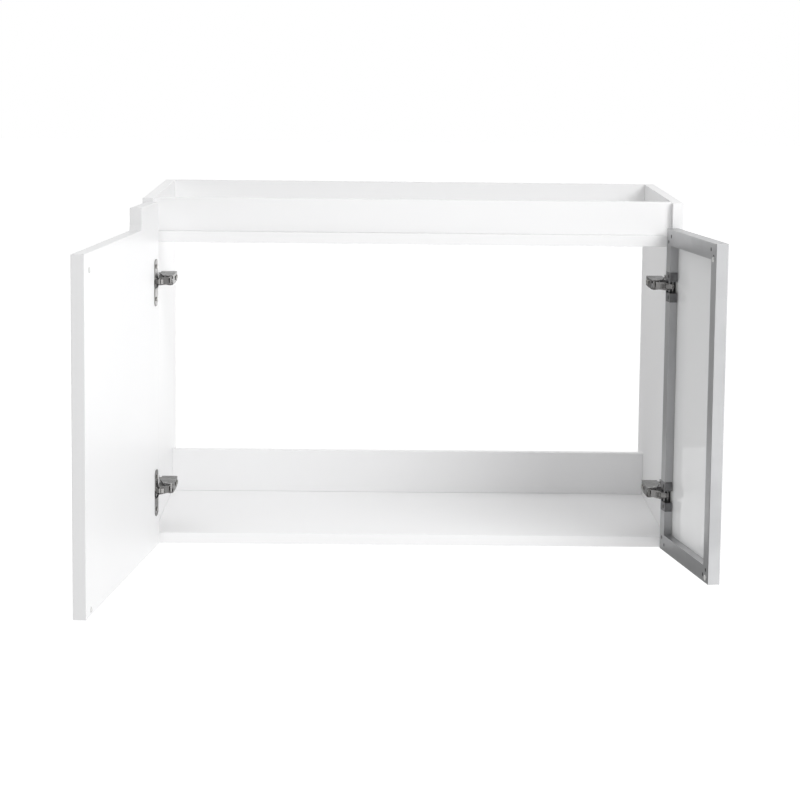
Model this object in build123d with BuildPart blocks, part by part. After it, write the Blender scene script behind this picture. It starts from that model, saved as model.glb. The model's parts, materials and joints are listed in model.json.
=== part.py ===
from build123d import *

import os
from math import atan2, cos, degrees, radians, sin

# Wall-mounted vanity cabinet for a basin, shown with both doors open.
# X runs left to right, the wall is at y = 0 and the front faces -Y.
# The origin is midway between the two wall screws, on the back of the top rail.

# Carcass
width = 800.0
height = 518.0
depth = 450.0
board = 16.0
back_top_rail_height = 80.0
wall_screw_drop = 40.0
wall_screw_spacing = 640.0
wall_screw_radius = 3.5
wall_head_radius = 7.0
wall_head_depth = 4.0
pipe_space = 69.5
back_bottom_rail_height = 68.0
ledge_depth = 80.0
fascia_height = 49.0
fascia_recess = 12.0
panel_edge = 0.6

# Dowels: this much of each stands in the flat board, the rest in the end of its neighbour
dowel_radius = 4.0
dowel_length = 30.0
dowel_in_flat = 10.5
dowel_fit = 0.1
dowel_end_gap = 0.5
dowel_edge_distance = 20.0
dowel_spread = 250.0

# Doors, measured on the inside face from the hinge edge
door_thickness = 18.0
door_edge_gap = 1.0
doors_apart = 3.0
front_gap = 2.0
left_door_width = 527.0
door_top_drop = 37.0
tab_width = 130.0
tab_top_drop = 5.0
tab_corner_radius = 9.0
door_round = 1.0
left_open_angle = 95.9
right_open_angle = 98.7
widest_open_angle = 100
bumper_radius = 4.0
bumper_thickness = 1.9
bumper_from_edge = {"left": 30.0, "right": 12.0}
bumper_height = 8.0
bumper_top_drop = 23.0

# Concealed hinges: the lower ones stand this high, the upper ones this far below the door's top.
# The pins are those of the linkage with the door shut: the arm pins are measured from the
# cabinet's outer corner, the cup pins from the door's.
lower_hinge_height = 82.0
upper_hinge_drop = 85.5
outer_arm_pin = (32.0, 15.8)
inner_arm_pin = (40.0, 9.0)
outer_cup_pin = (8.8, 8.45)
inner_cup_pin = (10.0, 3.0)
outer_link_turn = -0.11
inner_link_turn = -0.268
pin_radius = 1.25
stub_radius = 1.0
pin_fit = 0.05
pin_head_radius = 2.2
pin_head_thickness = 0.6

# Hinge links
link_half_height = 3.5
link_half_width = 1.8
link_eye_radius = 3.0
link_elbows = ((23.9, -11.7), (18.4, -11.8))
lever_inner_half = 4.0
lever_outer_half = 5.4
lever_half_width = 1.5
lever_elbows = ((33.9, 4.9), (15.8, -6.8))
fork_fit = 0.1
fork_prong = 0.8
fork_past_pin = 0.2
fork_tip_chamfer = 0.7
lever_barrel_radius = 2.7

# Hinge arm and mounting plate
arm_half_height = 7.0
arm_wall = 1.1
arm_web = 1.5
arm_nose_radius = 3.9
arm_rear = 78.0
arm_straight = 45.0
arm_stand_off = 6.0
arm_top = 29.5
rail_half_height = 5.7
rail_top = 13.0
rail_front = 26.0
rail_length = 48.0
plate_thickness = 2.5
plate_setback = 37.0
wing_height = 63.0
wing_width = 14.0
foot_half_height = 9.0
plate_screw_spacing = 32.0
plate_screw_radius = 2.0
plate_screw_length = 13.0
plate_head_radius = 3.6
plate_head_height = 1.8
screw_fit = 0.1
adjuster_radius = 2.0
adjuster_head_radius = 3.4
adjuster_head_height = 1.6
adjuster_setbacks = (46.0, 65.0)
adjuster_in_rail = 5.0

# Cup in the board door
cup_radius = 17.4
cup_centre = 20.0
cup_depth = 13.2
cup_wall = 0.7
cup_floor = 0.8
cup_fit = 0.1
pocket_half_height = 8.0
cup_pin_half = 10.9
stub_start = 3.8
flange_height = 69.0
flange_start = 13.0
flange_width = 23.0
flange_thickness = 1.2
flange_round = 8.0
cup_screw_spacing = 48.0
cup_screw_offset = 25.5
cup_screw_radius = 1.7
cup_screw_length = 14.0
cup_head_radius = 3.2
cup_head_height = 1.4

# Aluminium frame of the right door
frame_width = 24.0
frame_wall = 1.6
frame_round = 1.0
glass_slot_start = 12.0
glass_slot_depth = 5.0
glass_slot_edge = 12.0
slot_wall = 1.0
glass_thickness = 4.0
glass_back = 12.4
glass_edge_gap = 1.4
gasket_proud = 0.6
gasket_edge_gap = 0.2
cleat_leg = 42.0
cleat_fit = 0.3
corner_screw_radius = 1.5
corner_screw_length = 8.0
corner_head_radius = 2.6
corner_screw_on_stile = (12.0, 19.0)
corner_screw_on_rail = (26.0, 10.0)

# Hinge housing in the aluminium frame
housing_height = 44.0
housing_half_pocket = 8.7
housing_start = 1.8
housing_end = 26.0
housing_pocket_start = 4.0
housing_depth = 10.8
housing_fit = 0.2
housing_screw_offset = 16.0
housing_screw_spacing = 31.0
housing_screw_length = 11.8

# Places that follow from the sizes above
half_width = width / 2
inner_half = half_width - board
base_z = wall_screw_drop - height
right_door_width = width - 2 * door_edge_gap - doors_apart - left_door_width
ledge_top = height - fascia_height
ledge_height = ledge_top - board
door_height = height - door_top_drop
tab_height = height - tab_top_drop
hinge_heights = (lower_hinge_height, door_height - upper_hinge_drop)
bumper_heights = (bumper_height, door_height - bumper_top_drop)
fascia_back = depth - fascia_recess - board
rail_front_face = pipe_space + board
dowel_shift = dowel_length / 2 - dowel_in_flat


def keep(piece, name):
    """Label a finished piece and write it."""
    piece.part.label = name
    export_step(piece.part, f"parts/{name}.step")


def turned(point, centre, angle):
    """A point turned clockwise, seen from above, by an angle in degrees."""
    dx = point[0] - centre[0]
    dy = point[1] - centre[1]
    c = cos(radians(angle))
    s = sin(radians(angle))
    return (centre[0] + c * dx + s * dy, centre[1] - s * dx + c * dy)


# Everything on hinges is drawn for the left side; the right side is its mirror image.
arm_pin_outer = (outer_arm_pin[0] - half_width, outer_arm_pin[1] - depth)
arm_pin_inner = (inner_arm_pin[0] - half_width, inner_arm_pin[1] - depth)
shut_corner = (door_edge_gap - half_width, -depth - front_gap)
shut_cup_pin = (shut_corner[0] + outer_cup_pin[0], shut_corner[1] - outer_cup_pin[1])


class OpenDoor:
    """Where a door and its links stand when it is open by an angle."""

    def __init__(self, angle):
        self.link_angle = outer_link_turn * angle
        self.lever_angle = inner_link_turn * angle
        self.pivot = turned(shut_cup_pin, arm_pin_outer, self.link_angle)
        moved = (
            shut_corner[0] + self.pivot[0] - shut_cup_pin[0],
            shut_corner[1] + self.pivot[1] - shut_cup_pin[1],
        )
        self.corner = turned(moved, self.pivot, angle)
        self.along = (cos(radians(angle)), -sin(radians(angle)), 0)
        self.inward = (-sin(radians(angle)), -cos(radians(angle)), 0)

    def point(self, from_edge, deep, up=0.0):
        """A point of the door by its distance from the hinge edge and its depth."""
        x = self.corner[0] + from_edge * self.along[0] + deep * self.inward[0]
        y = self.corner[1] + from_edge * self.along[1] + deep * self.inward[1]
        return (x, y, base_z + up)

    def face(self, deep=0.0, up=0.0):
        """The inside face as a drawing plane: x from the hinge edge, y up, z into the door."""
        return Plane(self.point(0, deep, up), x_dir=self.along, z_dir=self.inward)

    def link_plane(self, up):
        """A level plane on the outer arm pin that turns with the outer link."""
        a = radians(-self.link_angle)
        return Plane((*arm_pin_outer, base_z + up), x_dir=(cos(a), sin(a), 0), z_dir=(0, 0, 1))

    def lever_plane(self, up):
        """A level plane on the inner arm pin that turns with the inner link."""
        a = radians(-self.lever_angle)
        return Plane((*arm_pin_inner, base_z + up), x_dir=(cos(a), sin(a), 0), z_dir=(0, 0, 1))


doors = {"left": OpenDoor(left_open_angle), "right": OpenDoor(right_open_angle)}


def stub_from_lever(angle):
    """The cup's shallow pin seen from the inner arm pin, in the inner link's own frame."""
    door = OpenDoor(angle)
    x, y = turned(door.point(*inner_cup_pin)[:2], arm_pin_inner, -door.lever_angle)
    return Vector(x - arm_pin_inner[0], y - arm_pin_inner[1])


# The shallow pin slides in the inner link's fork: its nearest and farthest reach and its play
stub_track = [stub_from_lever(angle) for angle in range(0, widest_open_angle + 1, 4)]
stub_reach = [spot.length for spot in stub_track]
stub_bearing = [degrees(atan2(spot.Y, spot.X)) for spot in stub_track]
fork_direction = (min(stub_bearing) + max(stub_bearing)) / 2
fork_play = radians(max(stub_bearing) - min(stub_bearing)) / 2 * max(stub_reach)
fork_slot_half = stub_radius + fork_play + fork_fit
fork_half_width = fork_slot_half + fork_prong
fork_root = min(stub_reach) - stub_radius - fork_fit + fork_slot_half
fork_tip = max(stub_reach) + fork_past_pin


def to_side(side):
    """Mirror the piece under construction when it belongs to the right side."""
    if side == "right":
        mirror(about=Plane.YZ, mode=Mode.REPLACE)


# Dowel places in the joints between the boards
end_dowels = (
    (-depth + 2 * dowel_edge_distance, board / 2),
    (-rail_front_face - 2 * dowel_edge_distance, board / 2),
    (-pipe_space - board / 2, board + back_bottom_rail_height / 2),
    (-board / 2, height - dowel_edge_distance),
    (-board / 2, height - back_top_rail_height + dowel_edge_distance),
    (-depth + dowel_edge_distance, ledge_height + board / 2),
    (-depth + ledge_depth - dowel_edge_distance, ledge_height + board / 2),
    (-fascia_back - board / 2, (ledge_top + height) / 2),
)
upright_dowels = (
    (-pipe_space - board / 2, board),
    (-fascia_back - board / 2, ledge_top),
)


def level_dowel_places(sign):
    """Centres of the dowels between one side panel and what ends on it."""
    return [(sign * (inner_half - dowel_shift), y, base_z + up) for y, up in end_dowels]


def upright_dowel_places():
    """Centres of the dowels that hold a rail on the board under it."""
    spots = (-dowel_spread, 0, dowel_spread)
    return [(x, y, base_z + up + dowel_shift) for x in spots for y, up in upright_dowels]


def drill_dowel_holes():
    """Cut every dowel hole that the board under construction meets."""
    radius = dowel_radius + dowel_fit
    length = dowel_length + 2 * dowel_end_gap
    with Locations(*level_dowel_places(-1), *level_dowel_places(1)):
        Cylinder(radius, length, rotation=(0, 90, 0), mode=Mode.SUBTRACT)
    with Locations(*upright_dowel_places()):
        Cylinder(radius, length, mode=Mode.SUBTRACT)


def cross_board(back, thick, low, high):
    """A board between the side panels, from y = -back forward, between two heights."""
    with BuildSketch(Plane.YZ.offset(-inner_half)) as profile:
        with Locations((-back - thick / 2, base_z + (low + high) / 2)):
            Rectangle(thick, high - low)
    extrude(profile.sketch, amount=2 * inner_half)


# Side panels, drilled for the dowels and the hinge plates
for side, sign in (("left", -1), ("right", 1)):
    with BuildPart() as side_panel:
        with BuildSketch(Plane.YZ.offset(-half_width)):
            with Locations((-depth / 2, base_z + height / 2)):
                Rectangle(depth, height)
        extrude(amount=board)
        front = side_panel.faces().sort_by(Axis.Y)[0]
        chamfer(front.edges().filter_by(Axis.Z), length=panel_edge)
        for up in hinge_heights:
            spots = [
                (-inner_half, plate_setback - depth, base_z + up + k * plate_screw_spacing / 2)
                for k in (-1, 1)
            ]
            with Locations(*spots):
                Cylinder(
                    plate_screw_radius + screw_fit,
                    2 * (plate_screw_length - plate_thickness + screw_fit),
                    rotation=(0, 90, 0),
                    mode=Mode.SUBTRACT,
                )
        to_side(side)
        drill_dowel_holes()
    keep(side_panel, f"{side}_side_panel")

with BuildPart() as bottom_panel:
    cross_board(pipe_space, depth - pipe_space, 0, board)
    front = bottom_panel.faces().sort_by(Axis.Y)[0]
    chamfer(front.edges().filter_by(Axis.X), length=panel_edge)
    drill_dowel_holes()
keep(bottom_panel, "bottom_panel")

with BuildPart() as back_bottom_rail:
    cross_board(pipe_space, board, board, board + back_bottom_rail_height)
    drill_dowel_holes()
keep(back_bottom_rail, "back_bottom_rail")

with BuildPart() as back_top_rail:
    cross_board(0, board, height - back_top_rail_height, height)
    drill_dowel_holes()
    with BuildSketch(Plane.XZ.offset(board)):
        with GridLocations(wall_screw_spacing, 1, 2, 1):
            Circle(wall_screw_radius)
    extrude(amount=-board, mode=Mode.SUBTRACT)
    with BuildSketch(Plane.XZ.offset(board)):
        with GridLocations(wall_screw_spacing, 1, 2, 1):
            Circle(wall_head_radius)
    extrude(amount=-wall_head_depth, mode=Mode.SUBTRACT)
keep(back_top_rail, "back_top_rail")

with BuildPart() as front_ledge:
    cross_board(depth - ledge_depth, ledge_depth, ledge_height, ledge_top)
    front = front_ledge.faces().sort_by(Axis.Y)[0]
    chamfer(front.edges().filter_by(Axis.X), length=panel_edge)
    drill_dowel_holes()
keep(front_ledge, "front_ledge")

with BuildPart() as front_fascia:
    cross_board(fascia_back, board, ledge_top, height)
    front = front_fascia.faces().sort_by(Axis.Y)[0]
    chamfer(front.edges().filter_by(Axis.X).sort_by(Axis.Z)[-1], length=panel_edge)
    drill_dowel_holes()
keep(front_fascia, "front_fascia")

with BuildPart() as carcass_dowels:
    with Locations(*level_dowel_places(-1), *level_dowel_places(1)):
        Cylinder(dowel_radius, dowel_length, rotation=(0, 90, 0))
    with Locations(*upright_dowel_places()):
        Cylinder(dowel_radius, dowel_length)
keep(carcass_dowels, "carcass_dowels")


def from_side(distance):
    """The x of a place this far from the left panel's inner face, towards the middle."""
    return -inner_half + distance


def mounting_plate(side, level, up):
    """Winged plate on the side panel, with the rail that the arm clips over."""
    with BuildPart() as plate:
        middle = plate_setback - depth
        with BuildSketch(Plane.YZ.offset(-inner_half)):
            with Locations((middle, base_z + up)):
                SlotOverall(wing_height, wing_width, rotation=90)
            with Locations((rail_front + rail_length / 2 - depth, base_z + up)):
                Rectangle(rail_length, 2 * foot_half_height)
        extrude(amount=plate_thickness)
        with BuildSketch(Plane.YZ.offset(-inner_half)):
            with Locations((rail_front + rail_length / 2 - depth, base_z + up)):
                Rectangle(rail_length, 2 * rail_half_height)
        extrude(amount=rail_top)
        for k in (-1, 1):
            spot = (from_side(plate_thickness), middle, base_z + up + k * plate_screw_spacing / 2)
            with Locations(Location(spot, (0, 90, 0))):
                CounterSinkHole(
                    plate_screw_radius + screw_fit,
                    plate_head_radius,
                    depth=2 * plate_thickness,
                )
        spots = [(from_side(rail_top), set_back - depth, base_z + up) for set_back in adjuster_setbacks]
        with Locations(*spots):
            Cylinder(
                adjuster_radius + screw_fit,
                2 * (adjuster_in_rail + screw_fit),
                rotation=(0, 90, 0),
                mode=Mode.SUBTRACT,
            )
        to_side(side)
    keep(plate, f"{side}_{level}_mounting_plate")


def hinge_arm(side, level, up):
    """Folded channel over the plate's rail, whose cheeks carry the two arm pins."""
    with BuildPart() as arm:
        with BuildSketch(Plane.XY.offset(base_z + up - arm_half_height)):
            with Locations(arm_pin_outer, arm_pin_inner):
                Circle(arm_nose_radius)
            low_x = from_side(arm_stand_off)
            high_x = from_side(arm_top)
            with Locations(((low_x + high_x) / 2, (arm_straight + arm_rear) / 2 - depth)):
                Rectangle(high_x - low_x, arm_rear - arm_straight)
            make_hull()
        extrude(amount=2 * arm_half_height)
        with BuildSketch(Plane.XY.offset(base_z + up - arm_half_height + arm_wall)):
            with Locations((from_side((arm_top - arm_web) / 2), arm_rear / 2 - depth)):
                Rectangle(arm_top - arm_web, 2 * arm_rear)
        extrude(amount=2 * (arm_half_height - arm_wall), mode=Mode.SUBTRACT)
        with Locations((*arm_pin_outer, base_z + up), (*arm_pin_inner, base_z + up)):
            Cylinder(pin_radius + pin_fit, 3 * arm_half_height, mode=Mode.SUBTRACT)
        spots = [(from_side(arm_top), set_back - depth, base_z + up) for set_back in adjuster_setbacks]
        with Locations(*spots):
            Cylinder(
                adjuster_radius + screw_fit,
                4 * arm_web,
                rotation=(0, 90, 0),
                mode=Mode.SUBTRACT,
            )
        to_side(side)
    keep(arm, f"{side}_{level}_hinge_arm")


def outer_link(side, level, up):
    """Goose-necked link from the arm's outer pin to the cup's deep pin."""
    place = doors[side]
    reach = (shut_cup_pin[0] - arm_pin_outer[0], shut_cup_pin[1] - arm_pin_outer[1])
    elbows = [
        (shut_corner[0] + u - arm_pin_outer[0], -depth + v - arm_pin_outer[1])
        for u, v in link_elbows
    ]
    with BuildPart() as link:
        with BuildSketch(place.link_plane(up - link_half_height)):
            with BuildLine():
                Polyline((0, 0), *elbows, reach)
                offset(amount=link_half_width)
            make_face()
            with Locations((0, 0), reach):
                Circle(link_eye_radius)
        extrude(amount=2 * link_half_height)
        with BuildSketch(place.link_plane(up - link_half_height)):
            with Locations((0, 0), reach):
                Circle(pin_radius + pin_fit)
        extrude(amount=2 * link_half_height, mode=Mode.SUBTRACT)
        to_side(side)
    keep(link, f"{side}_{level}_outer_link")


def inner_link(side, level, up):
    """Pair of plates on a barrel, forked round the cup's shallow pin."""
    place = doors[side]
    elbows = [
        (shut_corner[0] + u - arm_pin_inner[0], -depth + v - arm_pin_inner[1])
        for u, v in lever_elbows
    ]
    root = (
        fork_root * cos(radians(fork_direction)),
        fork_root * sin(radians(fork_direction)),
    )
    plate = lever_outer_half - lever_inner_half
    prong = fork_tip - fork_root
    with BuildPart() as lever:
        for low in (-lever_outer_half, lever_inner_half):
            with BuildSketch(place.lever_plane(up + low)):
                with BuildLine():
                    Polyline((0, 0), *elbows, root)
                    offset(amount=lever_half_width)
                make_face()
                Circle(lever_barrel_radius)
                with Locations(root):
                    Circle(fork_half_width)
                with Locations(Location((*root, 0), (0, 0, fork_direction))):
                    Polygon(
                        (0, fork_half_width),
                        (prong - fork_tip_chamfer, fork_half_width),
                        (prong, fork_half_width - fork_tip_chamfer),
                        (prong, fork_tip_chamfer - fork_half_width),
                        (prong - fork_tip_chamfer, -fork_half_width),
                        (0, -fork_half_width),
                        align=None,
                    )
                    Rectangle(
                        2 * prong,
                        2 * fork_slot_half,
                        align=(Align.MIN, Align.CENTER),
                        mode=Mode.SUBTRACT,
                    )
                with Locations(root):
                    Circle(fork_slot_half, mode=Mode.SUBTRACT)
            extrude(amount=plate)
        with BuildSketch(place.lever_plane(up - lever_inner_half)):
            Circle(lever_barrel_radius)
        extrude(amount=2 * lever_inner_half)
        with BuildSketch(place.lever_plane(up - lever_outer_half)):
            Circle(pin_radius + pin_fit)
        extrude(amount=2 * lever_outer_half, mode=Mode.SUBTRACT)
        to_side(side)
    keep(lever, f"{side}_{level}_inner_link")


for side in ("left", "right"):
    for level, up in zip(("lower", "upper"), hinge_heights):
        mounting_plate(side, level, up)
        hinge_arm(side, level, up)
        outer_link(side, level, up)
        inner_link(side, level, up)

# Pins and screws of the hinges, one group for each side of the cabinet
for side in ("left", "right"):
    place = doors[side]
    with BuildPart() as arm_pins:
        for up in hinge_heights:
            with Locations((*arm_pin_outer, base_z + up), (*arm_pin_inner, base_z + up)):
                Cylinder(pin_radius, 2 * arm_half_height)
            for k in (-1, 1):
                level_z = base_z + up + k * (arm_half_height + pin_head_thickness / 2)
                with Locations((*arm_pin_outer, level_z), (*arm_pin_inner, level_z)):
                    Cylinder(pin_head_radius, pin_head_thickness)
        to_side(side)
    keep(arm_pins, f"{side}_arm_pins")

    with BuildPart() as cup_pins:
        for up in hinge_heights:
            with Locations(place.point(*outer_cup_pin, up)):
                Cylinder(pin_radius, 2 * cup_pin_half)
            for k in (-1, 1):
                middle = up + k * (stub_start + cup_pin_half) / 2
                with Locations(place.point(*inner_cup_pin, middle)):
                    Cylinder(stub_radius, cup_pin_half - stub_start)
        to_side(side)
    keep(cup_pins, f"{side}_cup_pins")

    with BuildPart() as plate_screws:
        for up in hinge_heights:
            for k in (-1, 1):
                screw_z = base_z + up + k * plate_screw_spacing / 2
                head = (from_side(plate_thickness), plate_setback - depth, screw_z)
                with BuildSketch(Plane(head, z_dir=(-1, 0, 0))):
                    Circle(plate_head_radius - screw_fit)
                extrude(amount=plate_head_height, taper=45)
                with BuildSketch(Plane(head, z_dir=(-1, 0, 0))):
                    Circle(plate_screw_radius)
                extrude(amount=plate_screw_length)
        to_side(side)
    keep(plate_screws, f"{side}_plate_screws")

    with BuildPart() as adjusting_screws:
        for up in hinge_heights:
            for set_back in adjuster_setbacks:
                spot = (from_side(arm_top), set_back - depth, base_z + up)
                with BuildSketch(Plane(spot, z_dir=(1, 0, 0))):
                    Circle(adjuster_head_radius)
                extrude(amount=adjuster_head_height)
                with BuildSketch(Plane(spot, z_dir=(-1, 0, 0))):
                    Circle(adjuster_radius)
                extrude(amount=arm_top - rail_top + adjuster_in_rail)
        to_side(side)
    keep(adjusting_screws, f"{side}_adjusting_screws")

# Left door: one board, with a tab at the hinge side that covers the end of the fascia
place = doors["left"]
with BuildPart() as left_door:
    with BuildSketch(place.face()):
        with BuildLine():
            Polyline(
                (0, 0),
                (left_door_width, 0),
                (left_door_width, door_height),
                (tab_width, door_height),
                (tab_width, tab_height),
                (0, tab_height),
                close=True,
            )
        make_face()
        foot = vertices().sort_by_distance((tab_width, door_height, 0))[0]
        fillet(foot, radius=tab_corner_radius)
    extrude(amount=door_thickness)
    for broad_face in left_door.faces().sort_by(SortBy.AREA)[-2:]:
        fillet(broad_face.edges(), radius=door_round)
    with BuildSketch(place.face()):
        with Locations(*[(cup_centre, up) for up in hinge_heights]):
            Circle(cup_radius + cup_fit)
    extrude(amount=cup_depth + cup_fit, mode=Mode.SUBTRACT)
    with BuildSketch(place.face()):
        for up in hinge_heights:
            with Locations((cup_screw_offset, up)):
                with GridLocations(1, cup_screw_spacing, 1, 2):
                    Circle(cup_screw_radius + screw_fit)
    extrude(amount=cup_screw_length - flange_thickness + screw_fit, mode=Mode.SUBTRACT)
keep(left_door, "left_door")


def drill_cup_pins(place, up):
    """Holes for the deep pin and the two stubs of the shallow pin."""
    with Locations(place.point(*outer_cup_pin, up)):
        Cylinder(pin_radius + pin_fit, 2 * (cup_pin_half + screw_fit), mode=Mode.SUBTRACT)
    with Locations(place.point(*inner_cup_pin, up)):
        Cylinder(stub_radius + pin_fit, 2 * (cup_pin_half + screw_fit), mode=Mode.SUBTRACT)


for level, up in zip(("lower", "upper"), hinge_heights):
    with BuildPart() as cup:
        with BuildSketch(place.face()):
            with Locations((cup_centre, up)):
                Circle(cup_radius)
        extrude(amount=cup_depth)
        with BuildSketch(place.face()):
            with Locations((flange_start + flange_width / 2, up)):
                RectangleRounded(flange_width, flange_height, flange_round)
        extrude(amount=-flange_thickness)
        with BuildSketch(place.face(-flange_thickness)):
            with Locations((cup_centre, up)):
                Circle(cup_radius - cup_wall)
                Rectangle(2 * cup_radius, 2 * pocket_half_height, mode=Mode.INTERSECT)
        extrude(amount=flange_thickness + cup_depth - cup_floor, mode=Mode.SUBTRACT)
        with BuildSketch(place.face(-flange_thickness)):
            with Locations((cup_screw_offset, up)):
                with GridLocations(1, cup_screw_spacing, 1, 2):
                    Circle(cup_screw_radius + screw_fit)
        extrude(amount=flange_thickness, mode=Mode.SUBTRACT)
        drill_cup_pins(place, up)
    keep(cup, f"left_{level}_hinge_cup")

with BuildPart() as left_cup_screws:
    for up in hinge_heights:
        for k in (-1, 1):
            middle = (cup_screw_offset, up + k * cup_screw_spacing / 2)
            with BuildSketch(place.face(-flange_thickness)):
                with Locations(middle):
                    Circle(cup_head_radius)
            extrude(amount=-cup_head_height)
            with BuildSketch(place.face(-flange_thickness)):
                with Locations(middle):
                    Circle(cup_screw_radius)
            extrude(amount=cup_screw_length)
keep(left_cup_screws, "left_cup_screws")

# Right door: four mitred lengths of one aluminium profile round a glass pane
place = doors["right"]


def frame_member(plane, length):
    """One length of the door profile: hollow, with a slot for the glass."""
    with BuildSketch(plane) as profile:
        Rectangle(frame_width, door_thickness, align=(Align.MIN, Align.MAX))
        fillet(vertices().group_by(Axis.X)[0], radius=frame_round)
        with Locations((frame_wall, -frame_wall)):
            Rectangle(
                frame_width - 2 * frame_wall,
                glass_slot_start - slot_wall - frame_wall,
                align=(Align.MIN, Align.MAX),
                mode=Mode.SUBTRACT,
            )
            Rectangle(
                glass_slot_edge - 2 * frame_wall,
                door_thickness - 2 * frame_wall,
                align=(Align.MIN, Align.MAX),
                mode=Mode.SUBTRACT,
            )
        with Locations((glass_slot_edge, -glass_slot_start)):
            Rectangle(
                frame_width,
                glass_slot_depth,
                align=(Align.MIN, Align.MAX),
                mode=Mode.SUBTRACT,
            )
    extrude(profile.sketch, amount=length)


def mitre_plane(from_edge, up, across, upward):
    """The mitre of one corner, facing its stile."""
    side_dir = Vector(*place.along) * across
    return Plane(place.point(from_edge, 0, up), z_dir=side_dir + Vector(0, 0, upward))


corners = {
    ("hinge", "bottom"): mitre_plane(0, 0, -1, 1),
    ("hinge", "top"): mitre_plane(0, door_height, -1, -1),
    ("free", "bottom"): mitre_plane(right_door_width, 0, 1, 1),
    ("free", "top"): mitre_plane(right_door_width, door_height, 1, -1),
}
along = Vector(*place.along)
member_planes = {
    "hinge": Plane(place.point(0, 0, 0), x_dir=along, z_dir=(0, 0, 1)),
    "free": Plane(place.point(right_door_width, 0, door_height), x_dir=-along, z_dir=(0, 0, -1)),
    "bottom": Plane(place.point(right_door_width, 0, 0), x_dir=(0, 0, 1), z_dir=-along),
    "top": Plane(place.point(0, 0, door_height), x_dir=(0, 0, -1), z_dir=along),
}
edge_u, end_u = corner_screw_on_stile
rail_u, rail_v = corner_screw_on_rail
corner_screw_places = [
    (u, v)
    for near, far in ((edge_u, end_u), (rail_u, rail_v))
    for u in (near, right_door_width - near)
    for v in (far, door_height - far)
]


def cut_corner_screw_seats():
    """Countersunk holes through the back wall of the profile."""
    with BuildSketch(place.face()) as profile:
        with Locations(*corner_screw_places):
            Circle(corner_head_radius + screw_fit)
    extrude(profile.sketch, amount=corner_head_radius - corner_screw_radius, taper=45, mode=Mode.SUBTRACT)
    with BuildSketch(place.face()) as profile:
        with Locations(*corner_screw_places):
            Circle(corner_screw_radius + screw_fit)
    extrude(profile.sketch, amount=corner_screw_length + screw_fit, mode=Mode.SUBTRACT)


def cut_housing_notch(up):
    """Room for a hinge housing through the back face and the inner wall."""
    reach = frame_width - frame_wall + 1
    with BuildSketch(place.face()) as profile:
        with Locations((frame_wall, up)):
            Rectangle(reach, housing_height + 2 * housing_fit, align=(Align.MIN, Align.CENTER))
    extrude(profile.sketch, amount=glass_slot_start - slot_wall, mode=Mode.SUBTRACT)
    with BuildSketch(place.face()) as profile:
        with Locations((frame_wall, up)):
            Rectangle(reach, 2 * (housing_half_pocket + housing_fit), align=(Align.MIN, Align.CENTER))
    extrude(profile.sketch, amount=glass_slot_start, mode=Mode.SUBTRACT)
    with BuildSketch(place.face()) as profile:
        with Locations((housing_screw_offset, up)):
            with GridLocations(1, housing_screw_spacing, 1, 2):
                Circle(cup_screw_radius + screw_fit)
    extrude(profile.sketch, amount=glass_slot_start, mode=Mode.SUBTRACT)


for which in ("hinge", "free"):
    with BuildPart() as stile:
        frame_member(member_planes[which], door_height)
        for end in ("bottom", "top"):
            split(bisect_by=corners[(which, end)], keep=Keep.TOP)
        cut_corner_screw_seats()
        if which == "hinge":
            for up in hinge_heights:
                cut_housing_notch(up)
        to_side("right")
    keep(stile, f"right_door_{which}_stile")

for which in ("bottom", "top"):
    with BuildPart() as rail:
        frame_member(member_planes[which], right_door_width)
        for end in ("hinge", "free"):
            split(bisect_by=corners[(end, which)], keep=Keep.BOTTOM)
        cut_corner_screw_seats()
        to_side("right")
    keep(rail, f"right_door_{which}_rail")


def door_panel(inset, deep, thick, mode=Mode.ADD):
    """A slab parallel to the right door, inset from its edges."""
    with BuildSketch(place.face(deep)) as profile:
        with Locations((right_door_width / 2, door_height / 2)):
            Rectangle(right_door_width - 2 * inset, door_height - 2 * inset)
    extrude(profile.sketch, amount=thick, mode=mode)


with BuildPart() as right_door_glass:
    door_panel(glass_slot_edge + glass_edge_gap, glass_back, glass_thickness)
    to_side("right")
keep(right_door_glass, "right_door_glass")

with BuildPart() as right_door_gasket:
    door_panel(glass_slot_edge + gasket_edge_gap, glass_slot_start, glass_slot_depth)
    door_panel(frame_width + gasket_proud, glass_slot_start, glass_slot_depth, Mode.SUBTRACT)
    door_panel(glass_slot_edge + glass_edge_gap, glass_back, glass_thickness, Mode.SUBTRACT)
    to_side("right")
keep(right_door_gasket, "right_door_gasket")

with BuildPart() as corner_cleats:
    near = frame_wall + cleat_fit
    far = frame_width - frame_wall - cleat_fit
    with BuildSketch(place.face(frame_wall + cleat_fit)):
        for u, turn_u in ((0, 1), (right_door_width, -1)):
            for v, turn_v in ((0, 1), (door_height, -1)):
                with Locations((u, v)):
                    Polygon(
                        (turn_u * near, turn_v * near),
                        (turn_u * cleat_leg, turn_v * near),
                        (turn_u * cleat_leg, turn_v * far),
                        (turn_u * far, turn_v * far),
                        (turn_u * far, turn_v * cleat_leg),
                        (turn_u * near, turn_v * cleat_leg),
                        align=None,
                    )
    extrude(amount=glass_slot_start - slot_wall - frame_wall - 2 * cleat_fit)
    cut_corner_screw_seats()
    to_side("right")
keep(corner_cleats, "corner_cleats")

with BuildPart() as corner_screws:
    with BuildSketch(place.face()):
        with Locations(*corner_screw_places):
            Circle(corner_head_radius)
    extrude(amount=corner_head_radius - corner_screw_radius, taper=45)
    with BuildSketch(place.face()):
        with Locations(*corner_screw_places):
            Circle(corner_screw_radius)
    extrude(amount=corner_screw_length)
    to_side("right")
keep(corner_screws, "corner_screws")

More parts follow.
